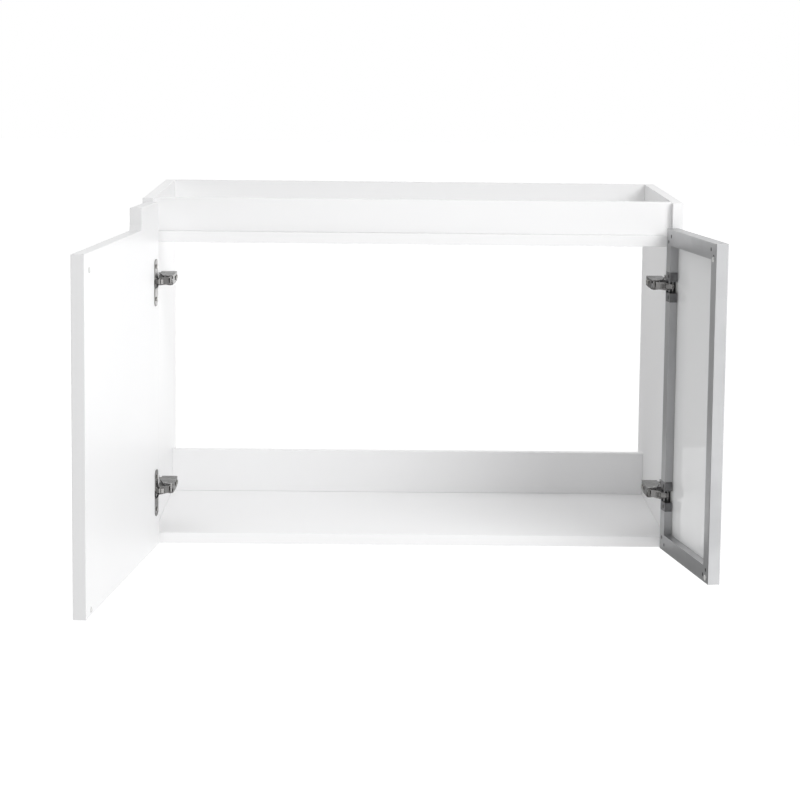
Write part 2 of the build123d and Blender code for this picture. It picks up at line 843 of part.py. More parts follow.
for level, up in zip(("lower", "upper"), hinge_heights):
    with BuildPart() as housing:
        with BuildSketch(place.face()):
            with Locations((housing_start, up)):
                Rectangle(
                    housing_end - housing_start,
                    housing_height,
                    align=(Align.MIN, Align.CENTER),
                )
            with Locations((housing_pocket_start, up)):
                Rectangle(
                    housing_end,
                    2 * housing_half_pocket,
                    align=(Align.MIN, Align.CENTER),
                    mode=Mode.SUBTRACT,
                )
        extrude(amount=housing_depth)
        with BuildSketch(place.face()):
            with Locations((housing_screw_offset, up)):
                with GridLocations(1, housing_screw_spacing, 1, 2):
                    Circle(cup_head_radius + screw_fit)
        extrude(amount=cup_head_radius - cup_screw_radius, taper=45, mode=Mode.SUBTRACT)
        with BuildSketch(place.face()):
            with Locations((housing_screw_offset, up)):
                with GridLocations(1, housing_screw_spacing, 1, 2):
                    Circle(cup_screw_radius + screw_fit)
        extrude(amount=housing_depth, mode=Mode.SUBTRACT)
        drill_cup_pins(place, up)
        to_side("right")
    keep(housing, f"right_{level}_hinge_housing")

with BuildPart() as right_cup_screws:
    for up in hinge_heights:
        for k in (-1, 1):
            middle = (housing_screw_offset, up + k * housing_screw_spacing / 2)
            with BuildSketch(place.face()):
                with Locations(middle):
                    Circle(cup_head_radius)
            extrude(amount=cup_head_radius - cup_screw_radius, taper=45)
            with BuildSketch(place.face()):
                with Locations(middle):
                    Circle(cup_screw_radius)
            extrude(amount=housing_screw_length)
    to_side("right")
keep(right_cup_screws, "right_housing_screws")

# Soft bumpers that the doors close on
for side, door_width in (("left", left_door_width), ("right", right_door_width)):
    place = doors[side]
    with BuildPart() as bumpers:
        with BuildSketch(place.face()):
            with Locations(*[(door_width - bumper_from_edge[side], up) for up in bumper_heights]):
                Circle(bumper_radius)
        extrude(amount=-bumper_thickness)
        to_side(side)
    keep(bumpers, f"{side}_door_bumpers")
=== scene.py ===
import json
from math import cos, radians, sin

import bpy
from mathutils import Matrix, Vector


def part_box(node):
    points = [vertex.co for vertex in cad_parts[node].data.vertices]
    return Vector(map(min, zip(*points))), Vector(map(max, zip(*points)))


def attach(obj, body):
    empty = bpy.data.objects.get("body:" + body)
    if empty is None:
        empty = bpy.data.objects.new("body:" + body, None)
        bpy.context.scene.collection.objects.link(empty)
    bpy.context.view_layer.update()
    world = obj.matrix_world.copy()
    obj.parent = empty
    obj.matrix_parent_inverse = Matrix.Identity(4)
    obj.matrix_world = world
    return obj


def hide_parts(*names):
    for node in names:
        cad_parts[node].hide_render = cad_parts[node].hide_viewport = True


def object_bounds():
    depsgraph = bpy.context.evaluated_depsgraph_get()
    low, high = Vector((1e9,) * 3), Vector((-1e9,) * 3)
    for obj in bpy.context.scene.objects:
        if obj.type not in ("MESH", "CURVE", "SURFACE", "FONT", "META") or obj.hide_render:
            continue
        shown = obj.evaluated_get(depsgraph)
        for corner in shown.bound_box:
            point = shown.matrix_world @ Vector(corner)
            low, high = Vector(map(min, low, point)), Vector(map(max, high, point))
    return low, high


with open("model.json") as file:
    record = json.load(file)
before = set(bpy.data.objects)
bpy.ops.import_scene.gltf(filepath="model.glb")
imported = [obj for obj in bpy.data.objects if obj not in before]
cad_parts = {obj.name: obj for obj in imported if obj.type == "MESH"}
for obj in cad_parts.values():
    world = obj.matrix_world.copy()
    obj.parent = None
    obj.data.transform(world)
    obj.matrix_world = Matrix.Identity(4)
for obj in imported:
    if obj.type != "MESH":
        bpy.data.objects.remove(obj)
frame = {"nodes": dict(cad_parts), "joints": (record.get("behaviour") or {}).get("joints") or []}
cad_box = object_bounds()
bpy.ops.object.select_all(action="DESELECT")

# Side panels: 16 mm board, sprayed white on every face and polished to a gloss.
# The arrises are eased before spraying, so a joint shows as a fine groove.
# The sprayed skin keeps a faint ripple, and handling leaves duller patches on it.
board_arris = 0.0007
lacquer_roughness = (0.4, 0.45)
lacquer_patch_scale = 3.0
coat_roughness = 0.08
ripple_scale = 70.0
ripple_depth = 0.00003
ripple_strength = 0.15
noise_low = 0.3
noise_high = 0.7


def node_group(name, inputs, outputs):
    """A shader node group with its sockets, and its input and output nodes."""
    group = bpy.data.node_groups.new(name, "ShaderNodeTree")
    for label, kind, value in inputs:
        socket = group.interface.new_socket(label, in_out="INPUT", socket_type=kind)
        socket.default_value = value
    for label, kind in outputs:
        group.interface.new_socket(label, in_out="OUTPUT", socket_type=kind)
    return group, group.nodes.new("NodeGroupInput"), group.nodes.new("NodeGroupOutput")


def feed(tree, entry, socket):
    """Give a socket a number, or the output of another node."""
    if isinstance(entry, (int, float)):
        socket.default_value = entry
    else:
        tree.links.new(entry, socket)


def object_point(tree):
    """Where a point of a surface lies, in the frame's own axes."""
    return tree.nodes.new("ShaderNodeTexCoord").outputs["Object"]


def noise(tree, vector, scale, detail=2.0, roughness=0.5):
    """A noise texture fed by a vector socket; scale is a number or a socket."""
    texture = tree.nodes.new("ShaderNodeTexNoise")
    texture.inputs["Detail"].default_value = detail
    texture.inputs["Roughness"].default_value = roughness
    tree.links.new(vector, texture.inputs["Vector"])
    feed(tree, scale, texture.inputs["Scale"])
    return texture.outputs["Fac"]


def smooth_rise(tree, value, start, end, low, high):
    """A value that goes smoothly from low to high as another one goes from start to end."""
    rise = tree.nodes.new("ShaderNodeMapRange")
    rise.interpolation_type = "SMOOTHSTEP"
    tree.links.new(value, rise.inputs["Value"])
    for label, entry in (("From Min", start), ("From Max", end), ("To Min", low), ("To Max", high)):
        feed(tree, entry, rise.inputs[label])
    return rise.outputs["Result"]


# Patches where a surface was handled: a little duller and a little greyer than the rest
handling, handling_in, handling_out = node_group(
    "handling_marks",
    [
        ("Clean", "NodeSocketColor", (1, 1, 1, 1)),
        ("Handled", "NodeSocketColor", (0.9, 0.9, 0.9, 1)),
        ("Roughness Low", "NodeSocketFloat", 0.1),
        ("Roughness High", "NodeSocketFloat", 0.3),
        ("Patch Scale", "NodeSocketFloat", 8.0),
    ],
    [("Color", "NodeSocketColor"), ("Roughness", "NodeSocketFloat")],
)
patch_scale_input = handling_in.outputs["Patch Scale"]
patches = noise(handling, object_point(handling), patch_scale_input, detail=5.0, roughness=0.6)
handled_share = smooth_rise(handling, patches, noise_low, noise_high, 0.0, 1.0)
handled_color = handling.nodes.new("ShaderNodeMix")
handled_color.data_type = "RGBA"
handling.links.new(handled_share, handled_color.inputs["Factor"])
handling.links.new(handling_in.outputs["Clean"], handled_color.inputs["A"])
handling.links.new(handling_in.outputs["Handled"], handled_color.inputs["B"])
handling.links.new(handled_color.outputs["Result"], handling_out.inputs["Color"])
handled_roughness = smooth_rise(
    handling,
    patches,
    noise_low,
    noise_high,
    handling_in.outputs["Roughness Low"],
    handling_in.outputs["Roughness High"],
)
handling.links.new(handled_roughness, handling_out.inputs["Roughness"])


def principled(finish):
    """The shader node of a material."""
    return finish.node_tree.nodes["Principled BSDF"]


def new_finish(name, clean, handled, roughness, patch_scale, metallic=0.0):
    """A material whose colour and roughness vary with handling."""
    finish = bpy.data.materials.new(name)
    finish.use_nodes = True
    tree = finish.node_tree
    shader = principled(finish)
    shader.inputs["Metallic"].default_value = metallic
    marks = tree.nodes.new("ShaderNodeGroup")
    marks.node_tree = handling
    marks.inputs["Clean"].default_value = (*clean, 1)
    marks.inputs["Handled"].default_value = (*handled, 1)
    marks.inputs["Roughness Low"].default_value = roughness[0]
    marks.inputs["Roughness High"].default_value = roughness[1]
    marks.inputs["Patch Scale"].default_value = patch_scale
    tree.links.new(marks.outputs["Color"], shader.inputs["Base Color"])
    tree.links.new(marks.outputs["Roughness"], shader.inputs["Roughness"])
    return finish


def add_relief(finish, height, depth, strength):
    """A bump of this depth in metres from a height socket."""
    tree = finish.node_tree
    bump = tree.nodes.new("ShaderNodeBump")
    bump.inputs["Strength"].default_value = strength
    bump.inputs["Distance"].default_value = depth
    tree.links.new(height, bump.inputs["Height"])
    tree.links.new(bump.outputs["Normal"], principled(finish).inputs["Normal"])


def sprayed_lacquer(name, clean, handled, coat, shine):
    """A sprayed white under a thin clear coat, with a faint ripple in it."""
    finish = new_finish(name, clean, handled, lacquer_roughness, lacquer_patch_scale)
    shader = principled(finish)
    shader.inputs["Coat Weight"].default_value = coat
    shader.inputs["Coat Roughness"].default_value = coat_roughness
    shader.inputs["Specular IOR Level"].default_value = shine
    tree = finish.node_tree
    ripple = noise(tree, object_point(tree), ripple_scale, detail=0.0)
    add_relief(finish, ripple, ripple_depth, ripple_strength)
    return finish


lacquer = sprayed_lacquer(
    "white_gloss_lacquer",
    clean=(0.942, 0.942, 0.945),
    handled=(0.938, 0.938, 0.941),
    coat=0.08,
    shine=0.5,
)


def make_active(piece):
    """Select this object alone."""
    bpy.ops.object.select_all(action="DESELECT")
    piece.select_set(True)
    bpy.context.view_layer.objects.active = piece


def apply_modifier(piece, kind, **settings):
    """Add a modifier with these settings and apply it."""
    make_active(piece)
    bpy.ops.object.modifier_add(type=kind)
    modifier = piece.modifiers[-1]
    for label, value in settings.items():
        setattr(modifier, label, value)
    bpy.ops.object.modifier_apply(modifier=modifier.name)


def round_edges(piece, width, segments=3, sharper_than=30):
    """Round every edge sharper than an angle in degrees, and shade the flats flat."""
    apply_modifier(
        piece,
        "BEVEL",
        width=width,
        segments=segments,
        limit_method="ANGLE",
        angle_limit=radians(sharper_than),
    )
    bpy.ops.object.shade_smooth_by_angle(angle=radians(sharper_than + 10))
    apply_modifier(piece, "WEIGHTED_NORMAL", keep_sharp=True)


def settle(piece):
    """Keep a piece's place in its mesh and not in its object."""
    make_active(piece)
    bpy.ops.object.transform_apply(location=True, rotation=True, scale=True)


def fit(piece, name, body, slot, finish, *nodes):
    """Name a finished piece, give it its material and hand it to its body and its CAD nodes."""
    piece.name = name
    piece.data.name = name
    piece.data.materials.clear()
    piece.data.materials.append(finish)
    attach(piece, body)
    if nodes:
        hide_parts(*nodes)


def board_blank(low, high):
    """A sharp-edged board between two corners."""
    bpy.ops.object.select_all(action="DESELECT")
    bpy.ops.mesh.primitive_cube_add(size=1, location=(low + high) / 2, scale=high - low)
    piece = bpy.context.object
    settle(piece)
    return piece


def board(low, high):
    """A board between two corners, with its arrises eased."""
    piece = board_blank(low, high)
    round_edges(piece, board_arris)
    return piece


for side in ("left", "right"):
    node = f"{side}_side_panel"
    fit(board(*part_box(node)), f"{side}_side_board", "cabinet", "white_board", lacquer, node)

# Bottom panel and the low rail on its back edge: the same sprayed board, dowelled and glued
# between the sides. The rail stands forward of the wall, so that pipes pass behind it.
for node, name in (("bottom_panel", "bottom_board"), ("back_bottom_rail", "low_back_board")):
    fit(board(*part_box(node)), name, "cabinet", "white_board", lacquer, node)

# Front ledge and the upright fascia on it: they tie the two sides together under the basin.
# The fascia is set back a little, and the ledge's top shows in front of it.
for node, name in (("front_ledge", "ledge_board"), ("front_fascia", "fascia_board")):
    fit(board(*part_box(node)), name, "cabinet", "white_board", lacquer, node)

# Back top rail: the board that hangs the cabinet. Two holes, counterbored from the front,
# take the wall screws.
wall_screw_spacing = 0.64
wall_hole_radius = 0.0035
wall_counterbore_radius = 0.007
wall_counterbore_depth = 0.004
rail_arris = board_arris / 2
drill_past_rail = 0.009


def bore(piece, centre, radius, depth, axis):
    """Cut a round hole into a piece."""
    bpy.ops.object.select_all(action="DESELECT")
    bpy.ops.mesh.primitive_cylinder_add(
        vertices=48, radius=radius, depth=depth, location=centre, rotation=axis
    )
    drill = bpy.context.object
    apply_modifier(piece, "BOOLEAN", operation="DIFFERENCE", object=drill, solver="EXACT")
    bpy.data.objects.remove(drill)


rail_low, rail_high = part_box("back_top_rail")
hanging_rail = board_blank(rail_low, rail_high)
across_rail = (radians(90), 0, 0)
for sign in (-1, 1):
    hole_front = (sign * wall_screw_spacing / 2, rail_low.y, 0)
    for radius, depth in (
        (wall_hole_radius, rail_high.y - rail_low.y + drill_past_rail),
        (wall_counterbore_radius, wall_counterbore_depth),
    ):
        bore(hanging_rail, hole_front, radius, 2 * depth, across_rail)
round_edges(hanging_rail, rail_arris, segments=2)
fit(hanging_rail, "hanging_rail", "cabinet", "white_board", lacquer, "back_top_rail")

# Dowels: turned beech pegs, glued into the boards and out of sight once it is together.
# They stay as the frame gives them, in plain beech with small darker flecks.
beech = new_finish(
    "beech",
    clean=(0.68, 0.50, 0.32),
    handled=(0.55, 0.38, 0.23),
    roughness=(0.55, 0.7),
    patch_scale=300.0,
)


def carry_over(node, finish):
    """Give a solid that is already right its material."""
    piece = frame["nodes"][node]
    for material_slot in piece.material_slots:
        material_slot.material = finish


carry_over("carcass_dowels", beech)

# Hinge mounting plates, arms and links: stamped steel, bright nickel plated.
# The edges are tumbled round before plating, and rolling leaves a fine grain.
hinge_edge = 0.00035
link_edge = hinge_edge / 2

grain, grain_in, grain_out = node_group(
    "drawn_grain",
    [("Stretch", "NodeSocketVector", (900.0, 900.0, 30.0))],
    [("Height", "NodeSocketFloat")],
)
stretch = grain.nodes.new("ShaderNodeMapping")
grain.links.new(object_point(grain), stretch.inputs["Vector"])
grain.links.new(grain_in.outputs["Stretch"], stretch.inputs["Scale"])
grain_lines = noise(grain, stretch.outputs["Vector"], scale=1.0, detail=3.0, roughness=0.6)
grain.links.new(grain_lines, grain_out.inputs["Height"])


def add_grain(finish, stretched, depth, strength):
    """Relief from drawn or rolled metal, stretched along one axis."""
    lines = finish.node_tree.nodes.new("ShaderNodeGroup")
    lines.node_tree = grain
    lines.inputs["Stretch"].default_value = stretched
    add_relief(finish, lines.outputs["Height"], depth, strength)


nickel = new_finish(
    "nickel_plate",
    clean=(0.31, 0.306, 0.30),
    handled=(0.25, 0.246, 0.242),
    roughness=(0.16, 0.28),
    patch_scale=60.0,
    metallic=1.0,
)
principled(nickel).inputs["Specular Tint"].default_value = (0.6, 0.6, 0.6, 1)
add_grain(nickel, (1800.0, 300.0, 1800.0), depth=0.00003, strength=0.3)


def eased_copy(node, width):
    """A solid of the frame with its triangles joined into whole faces and its edges rounded."""
    mesh = frame["nodes"][node].data.copy()
    piece = bpy.data.objects.new(node, mesh)
    bpy.context.scene.collection.objects.link(piece)
    make_active(piece)
    bpy.ops.object.mode_set(mode="EDIT")
    bpy.ops.mesh.select_all(action="SELECT")
    bpy.ops.mesh.remove_doubles(threshold=0.000002)
    bpy.ops.mesh.dissolve_limited(angle_limit=radians(1))
    bpy.ops.object.mode_set(mode="OBJECT")
    round_edges(piece, width, segments=2, sharper_than=35)
    return piece


def plate_with_nickel(node, body, edge):
    """Put a nickel-plated copy with tumbled edges in the place of a solid."""
    fit(eased_copy(node, edge), f"{node}_plated", body, "nickelled_steel", nickel, node)


for side in ("left", "right"):
    for level in ("lower", "upper"):
        for part in ("mounting_plate", "hinge_arm"):
            plate_with_nickel(f"{side}_{level}_{part}", "cabinet", hinge_edge)
        for part in ("outer_link", "inner_link"):
            plate_with_nickel(f"{side}_{level}_{part}", f"{side}_{part}s", link_edge)

# Rivets of the arm: steel pins with low domed heads, closed over the cheeks of the arm.
# The cup pins are plain and stay as the frame gives them.
pin_radius = 0.00125
rivet_head_radius = 0.0022
rivet_head_height = 0.0006
rivet_dome = ((0.45, 1.0), (0.85, 0.75), (1.0, 0.3), (1.0, 0.0))
arm_half_height = 0.007
outer_arm_pin = (0.016, 0.0158)
inner_arm_pin = (0.024, 0.009)

pin_steel = new_finish(
    "pin_steel",
    clean=(0.5, 0.5, 0.5),
    handled=(0.4, 0.4, 0.4),
    roughness=(0.25, 0.4),
    patch_scale=80.0,
    metallic=1.0,
)
carcass_low, carcass_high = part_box("left_side_panel")
panel_inner = carcass_high.x
carcass_front = carcass_low.y


def turned_piece(rings, sides=32):
    """A turned part on the Z axis, from the radius and height of each ring, top first."""
    bpy.ops.object.select_all(action="DESELECT")
    radius, height = rings[0]
    bpy.ops.mesh.primitive_circle_add(
        vertices=sides, radius=radius, fill_type="NGON", location=(0, 0, height)
    )
    piece = bpy.context.object
    settle(piece)
    bpy.ops.object.mode_set(mode="EDIT")
    bpy.ops.mesh.select_all(action="SELECT")
    bpy.ops.mesh.flip_normals()
    for next_radius, next_height in rings[1:]:
        bpy.ops.mesh.extrude_region_move(
            TRANSFORM_OT_translate={"value": (0, 0, next_height - height)}
        )
        share = next_radius / radius
        bpy.ops.transform.resize(value=(share, share, 1), center_override=(0, 0, next_height))
        radius, height = next_radius, next_height
    bpy.ops.mesh.select_all(action="SELECT")
    bpy.ops.mesh.normals_make_consistent(inside=False)
    bpy.ops.object.mode_set(mode="OBJECT")
    bpy.ops.object.shade_smooth_by_angle(angle=radians(35))
    return piece


def domed(profile, radius, height, base=0.0):
    """Rings of a dome on a base, from shares of its radius and of its height."""
    return [(radius * across, base + height * up) for across, up in profile]


def copies(model, places):
    """One piece made of a copy of the model at each place; the model goes."""
    made = []
    for place in places:
        piece = bpy.data.objects.new(model.name, model.data.copy())
        bpy.context.scene.collection.objects.link(piece)
        piece.data.transform(place)
        if place.determinant() < 0:
            piece.data.flip_normals()
        made.append(piece)
    make_active(made[0])
    for piece in made:
        piece.select_set(True)
    bpy.ops.object.join()
    bpy.data.objects.remove(model)
    return made[0]


def hinge_height(side, level):
    """The middle of one hinge, above the origin."""
    low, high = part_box(f"{side}_{level}_mounting_plate")
    return (low.z + high.z) / 2


def beside_panel(side, level):
    """The place of a hinge on its side panel: x towards the middle, y back from the front."""
    mirrored = Matrix.Scale(-1 if side == "right" else 1, 4, (1, 0, 0))
    corner = Matrix.Translation((panel_inner, carcass_front, hinge_height(side, level)))
    return mirrored @ corner


half_pin = domed(rivet_dome, rivet_head_radius, rivet_head_height, arm_half_height)
half_pin.append((pin_radius, arm_half_height))
for side in ("left", "right"):
    rivet = turned_piece(half_pin + [(radius, -height) for radius, height in reversed(half_pin)])
    places = [
        beside_panel(side, level) @ Matrix.Translation((*pin, 0))
        for level in ("lower", "upper")
        for pin in (outer_arm_pin, inner_arm_pin)
    ]
    rivets = copies(rivet, places)
    fit(rivets, f"{side}_arm_rivets", "cabinet", "pin_steel", pin_steel, f"{side}_arm_pins")
    carry_over(f"{side}_cup_pins", pin_steel)

# Webs of the inner links: each link is one stamping folded to a channel, and the web joins its
# two cheeks on the side that faces the room. It stops short of the fork and of the barrel.
open_angles = {"left": 95.9, "right": 98.7}
inner_link_turn = 0.268
web_start = Vector((-0.0051, -0.0041, 0))
web_end = Vector((-0.0232, -0.0158, 0))
web_half_height = 0.0054
web_face = 0.0015
web_thickness = 0.0008
web_edge = 0.0003


def link_web():
    """A web lying along x from the start of the link's straight part, with its face to +y."""
    half = web_half_height
    length = (web_end - web_start).length
    piece = board_blank(Vector((0, web_face - web_thickness, -half)), Vector((length, web_face, half)))
    round_edges(piece, web_edge, segments=2)
    return piece


for side in ("left", "right"):
    turned = Matrix.Rotation(radians(inner_link_turn * open_angles[side]), 4, "Z")
    along_link = (web_end - web_start).to_track_quat("X", "Z").to_matrix().to_4x4()
    places = [
        beside_panel(side, level)
        @ Matrix.Translation((*inner_arm_pin, 0))
        @ turned
        @ Matrix.Translation(web_start)
        @ along_link
        for level in ("lower", "upper")
    ]
    webs = copies(link_web(), places)
    fit(webs, f"{side}_link_webs", f"{side}_inner_links", "nickelled_steel", nickel)

# Screws: zinc-plated steel with a cross recess. Countersunk ones hold the plates, and longer
# ones with pan heads, through the arm, set the door's side and depth.
plate_setback = 0.037
plate_thickness = 0.0025
plate_screw_spacing = 0.032
arm_top = 0.0295
adjuster_setbacks = (0.046, 0.065)
pan_head = ((0.62, 1.0), (0.88, 0.86), (1.0, 0.5), (1.0, 0.0))
countersunk_flat_share = 0.94
countersunk_rim = 0.0002
point_share = 0.2
cross_span_share = 1.1
cross_width_share = 0.2
countersunk_cross_share = 0.35
pan_cross_share = 0.8
turn_between_screws = 137.5

screw_steel = new_finish(
    "zinc_plated_screws",
    clean=(0.42, 0.41, 0.39),
    handled=(0.33, 0.32, 0.305),
    roughness=(0.22, 0.4),
    patch_scale=120.0,
    metallic=1.0,
)


def cut_cross(piece, head, top, depth):
    """Cut a cross recess down into a head of this radius."""
    size = (head * cross_span_share, head * cross_width_share, 2 * depth)
    for turn in (0, 90):
        bpy.ops.object.select_all(action="DESELECT")
        bpy.ops.mesh.primitive_cube_add(
            size=1, location=(0, 0, top), rotation=(0, 0, radians(turn)), scale=size
        )
        cutter = bpy.context.object
        apply_modifier(piece, "BOOLEAN", operation="DIFFERENCE", object=cutter, solver="EXACT")
        bpy.data.objects.remove(cutter)
    make_active(piece)
    bpy.ops.object.shade_smooth_by_angle(angle=radians(35))


def screw_point(shank, length):
    """The tapered end of a shank, below a head at z = 0."""
    return [(shank, 2 * shank - length), (shank * point_share, -length)]


def countersunk_screw(head, shank, length):
    """A countersunk screw whose head is flush with z = 0."""
    cone = [(head * countersunk_flat_share, 0), (head, -countersunk_rim), (shank, shank - head)]
    screw = turned_piece(cone + screw_point(shank, length))
    cut_cross(screw, head, top=0, depth=head * countersunk_cross_share)
    return screw


def pan_head_screw(head, head_height, shank, length):
    """A pan-head screw whose head sits on z = 0."""
    rings = domed(pan_head, head, head_height) + [(shank, 0)]
    screw = turned_piece(rings + screw_point(shank, length))
    cut_cross(screw, head, top=head_height, depth=head_height * pan_cross_share)
    return screw


def turned_by(index):
    """Screws stop at any angle: each is turned on its axis by its own amount."""
    return Matrix.Rotation(radians(turn_between_screws * index), 4, "Z")


def out_of_hinges(side, spots, first_turn):
    """Places of screws at the same spots of both hinges of a side, heads away from the panel."""
    out_of_panel = Matrix.Rotation(radians(90), 4, "Y")
    on_panel = [(level, spot) for level in ("lower", "upper") for spot in spots]
    return [
        beside_panel(side, level) @ Matrix.Translation(spot) @ out_of_panel @ turned_by(index)
        for index, (level, spot) in enumerate(on_panel, first_turn)
    ]


plate_spots = [(plate_thickness, plate_setback, sign * plate_screw_spacing / 2) for sign in (-1, 1)]
adjuster_spots = [(arm_top, setback, 0) for setback in adjuster_setbacks]
for side in ("left", "right"):
    for model, places, name, node in (
        (
            countersunk_screw(head=0.0035, shank=0.002, length=0.013),
            out_of_hinges(side, plate_spots, first_turn=0),
            f"{side}_plate_fixing_screws",
            f"{side}_plate_screws",
        ),
        (
            pan_head_screw(head=0.0034, head_height=0.0016, shank=0.002, length=0.0215),
            out_of_hinges(side, adjuster_spots, first_turn=5),
            f"{side}_arm_adjusters",
            f"{side}_adjusting_screws",
        ),
    ):
        fit(copies(model, places), name, "cabinet", "screw_steel", screw_steel, node)

# Left door: one 18 mm board, routed with a tab at its hinge side that covers the end of the
# fascia. Its white is set darker than the carcass's as painted shade, against the stronger lamp light on
# its inside face. The cups are pressed steel.
deep_cup_pin = (0.0088, 0.00845)
cup_screw_offset = 0.0255
cup_screw_spacing = 0.048
cup_flange = 0.0012

joints = {joint["name"]: joint for joint in frame["joints"]}
door_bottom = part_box("left_door")[0].z


def on_door(side):
    """A door's place: x along it from the hinge edge, y out of its inside face, z up."""
    pivot = Vector(joints[f"{side}_door_hinge"]["pos_m"])
    mirrored = Matrix.Scale(-1 if side == "right" else 1, 4, (1, 0, 0))
    angle = radians(open_angles[side])
    along = Vector((cos(angle), -sin(angle), 0))
    outward = Vector((sin(angle), cos(angle), 0))
    corner = mirrored @ pivot - along * deep_cup_pin[0] + outward * deep_cup_pin[1]
    corner.z = door_bottom
    turned_door = Matrix((along, outward, Vector((0, 0, 1)))).transposed().to_4x4()
    turned_door.translation = corner
    return mirrored @ turned_door


def beside_hinges(side, along, out, spacing):
    """Spots of a pair of screws at each hinge of a door, one above the other."""
    return [
        (along, out, hinge_height(side, level) - door_bottom + sign * spacing / 2)
        for level in ("lower", "upper")
        for sign in (-1, 1)
    ]


def out_of_door(side, spots):
    """Places of round pieces that stand on the inside face of a door."""
    heads_out = Matrix.Rotation(radians(-90), 4, "X")
    return [
        on_door(side) @ Matrix.Translation(spot) @ heads_out @ turned_by(index)
        for index, spot in enumerate(spots)
    ]


# The door's darker white is painted shade over the same sprayed lacquer as the carcass.
shaded_door_finish = sprayed_lacquer(
    "door_white_with_painted_shade",
    clean=(0.865, 0.866, 0.87),
    handled=(0.861, 0.862, 0.866),
    coat=0.05,
    shine=0.2,
)
carry_over("left_door", shaded_door_finish)
for level in ("lower", "upper"):
    plate_with_nickel(f"left_{level}_hinge_cup", "left_door", hinge_edge)
cup_spots = beside_hinges("left", cup_screw_offset, cup_flange, cup_screw_spacing)
cup_screw = pan_head_screw(head=0.0032, head_height=0.0014, shank=0.0017, length=0.014)
cup_screws = copies(cup_screw, out_of_door("left", cup_spots))
fit(cup_screws, "left_cup_fixing_screws", "left_door", "screw_steel", screw_steel, "left_cup_screws")

# Right door: four mitred lengths of one extruded aluminium profile, anodised to a satin grey.
# Fine die marks run up its stiles, and the mitres close to a hairline.
profile_edge = 0.00025

aluminium = new_finish(
    "satin_anodised_aluminium",
    clean=(0.46, 0.463, 0.47),
    handled=(0.44, 0.443, 0.45),
    roughness=(0.34, 0.42),
    patch_scale=14.0,
    metallic=1.0,
)
add_grain(aluminium, (1500.0, 1500.0, 20.0), depth=0.00002, strength=0.25)
for part in ("hinge_stile", "free_stile", "top_rail", "bottom_rail"):
    node = f"right_door_{part}"
    profile = eased_copy(node, profile_edge)
    fit(profile, f"{node}_profile", "right_door", "satin_aluminium", aluminium, node)

# Glass of the right door: 4 mm float glass, painted white on the outside face.
# It sits in the slot of the profile on a soft clear gasket.
glass_arris = 0.0004
gasket_edge = 0.00015

pane_glass = new_finish(
    "white_painted_glass",
    clean=(0.945, 0.95, 0.953),
    handled=(0.935, 0.94, 0.943),
    roughness=(0.05, 0.09),
    patch_scale=6.0,
)
principled(pane_glass).inputs["IOR"].default_value = 1.52
pane = eased_copy("right_door_glass", glass_arris)
fit(pane, "right_door_pane", "right_door", "white_glass", pane_glass, "right_door_glass")
clear_seal = new_finish(
    "clear_seal",
    clean=(0.70, 0.70, 0.69),
    handled=(0.62, 0.62, 0.61),
    roughness=(0.35, 0.5),
    patch_scale=40.0,
)
seal = eased_copy("right_door_gasket", gasket_edge)
fit(seal, "right_door_seal", "right_door", "clear_seal", clear_seal, "right_door_gasket")

# Corner cleats, hinge housings and their screws: zinc castings inside the profile and dark
# countersunk screws through its back wall, two at each corner.
casting_grain_scale = 1500.0
corner_screw_on_stile = (0.012, 0.019)
corner_screw_on_rail = (0.026, 0.010)
housing_screw_offset = 0.016
housing_screw_spacing = 0.031

casting = new_finish(
    "plated_zinc_casting",
    clean=(0.18, 0.18, 0.184),
    handled=(0.13, 0.13, 0.134),
    roughness=(0.28, 0.42),
    patch_scale=90.0,
    metallic=1.0,
)
casting_grain = noise(casting.node_tree, object_point(casting.node_tree), casting_grain_scale)
add_relief(casting, casting_grain, depth=0.00004, strength=0.4)
carry_over("corner_cleats", casting)
for level in ("lower", "upper"):
    node = f"right_{level}_hinge_housing"
    fit(eased_copy(node, hinge_edge), f"{node}_cast", "right_door", "zinc_casting", casting, node)

dark_screws = new_finish(
    "blackened_screws",
    clean=(0.035, 0.035, 0.036),
    handled=(0.06, 0.06, 0.06),
    roughness=(0.35, 0.5),
    patch_scale=200.0,
    metallic=1.0,
)


def door_width(side, far_end):
    """How wide a door is, from its hinge edge to its far end, whose y in the frame is given."""
    return (on_door(side).translation.y - far_end) / sin(radians(open_angles[side]))


door_widths = {
    "left": door_width("left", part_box("left_door")[0].y),
    "right": door_width("right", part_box("right_door_free_stile")[0].y),
}
door_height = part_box("right_door_free_stile")[1].z - door_bottom
corner_spots = [
    (along, 0, up)
    for in_from_side, in_from_end in (corner_screw_on_stile, corner_screw_on_rail)
    for along in (in_from_side, door_widths["right"] - in_from_side)
    for up in (in_from_end, door_height - in_from_end)
]
housing_spots = beside_hinges("right", housing_screw_offset, 0, housing_screw_spacing)
for model, spots, name, node in (
    (
        countersunk_screw(head=0.0031, shank=0.0015, length=0.008),
        corner_spots,
        "frame_corner_screws",
        "corner_screws",
    ),
    (
        countersunk_screw(head=0.0032, shank=0.0017, length=0.0118),
        housing_spots,
        "housing_fixing_screws",
        "right_housing_screws",
    ),
):
    screws = copies(model, out_of_door("right", spots))
    fit(screws, name, "right_door", "dark_screws", dark_screws, node)

# Bumpers: soft clear domes, stuck on the inside of each door near its free corners, so that
# it closes quietly on the carcass.
bumper_radius = 0.004
bumper_height = 0.0019
bumper_dome = ((0.2, 1.0), (0.55, 0.93), (0.82, 0.72), (0.97, 0.36), (1.0, 0.0))
bumper_from_edge = {"left": 0.030, "right": 0.012}
bumper_levels = (0.008, door_height - 0.023)

